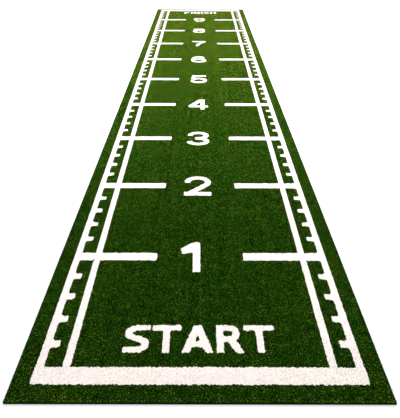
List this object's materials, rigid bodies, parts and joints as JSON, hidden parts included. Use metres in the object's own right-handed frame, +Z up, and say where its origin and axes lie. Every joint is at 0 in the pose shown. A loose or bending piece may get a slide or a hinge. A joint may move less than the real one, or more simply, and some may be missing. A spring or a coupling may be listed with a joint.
{
  "type": "turf training track",
  "caption": "Flat tufted turf track mat on a thin rubber cushion, with inlaid white start and finish bars, distance lines, ruler ticks, metre numerals and word markings.",
  "frame": {"origin": "centre of the underside, where the mat lies on the floor", "axes": "+Z up out of the pile, +Y along the track from the START bar to the FINISH bar, +X to the right of someone who runs towards FINISH"},
  "size_m": [2, 10.342, 0.0206],
  "materials": {
    "green_pile": "matte",
    "white_pile": "matte",
    "woven_cloth": "matte",
    "black_rubber": "matte"
  },
  "bodies": {
    "root": {"cushion_backing": "black_rubber", "finish_bar": "white_pile", "finish_letter_f": "white_pile", "finish_letter_h": "white_pile", "finish_letter_i1": "white_pile", "finish_letter_i2": "white_pile", "finish_letter_n": "white_pile", "finish_letter_s": "white_pile", "green_turf": "green_pile", "left_inner_line": "white_pile", "left_line_1m": "white_pile", "left_line_2m": "white_pile", "left_line_3m": "white_pile", "left_line_4m": "white_pile", "left_line_5m": "white_pile", "left_line_6m": "white_pile", "left_line_7m": "white_pile", "left_line_8m": "white_pile", "left_line_9m": "white_pile", "left_scale": "white_pile", "numeral_1": "white_pile", "numeral_2": "white_pile", "numeral_3": "white_pile", "numeral_4": "white_pile", "numeral_5": "white_pile", "numeral_6": "white_pile", "numeral_7": "white_pile", "numeral_8": "white_pile", "numeral_9": "white_pile", "right_inner_line": "white_pile", "right_line_1m": "white_pile", "right_line_2m": "white_pile", "right_line_3m": "white_pile", "right_line_4m": "white_pile", "right_line_5m": "white_pile", "right_line_6m": "white_pile", "right_line_7m": "white_pile", "right_line_8m": "white_pile", "right_line_9m": "white_pile", "right_scale": "white_pile", "start_bar": "white_pile", "start_letter_a": "white_pile", "start_letter_r": "white_pile", "start_letter_s": "white_pile", "start_letter_t1": "white_pile", "start_letter_t2": "white_pile", "woven_backing": "woven_cloth"}
  },
  "joints": []
}
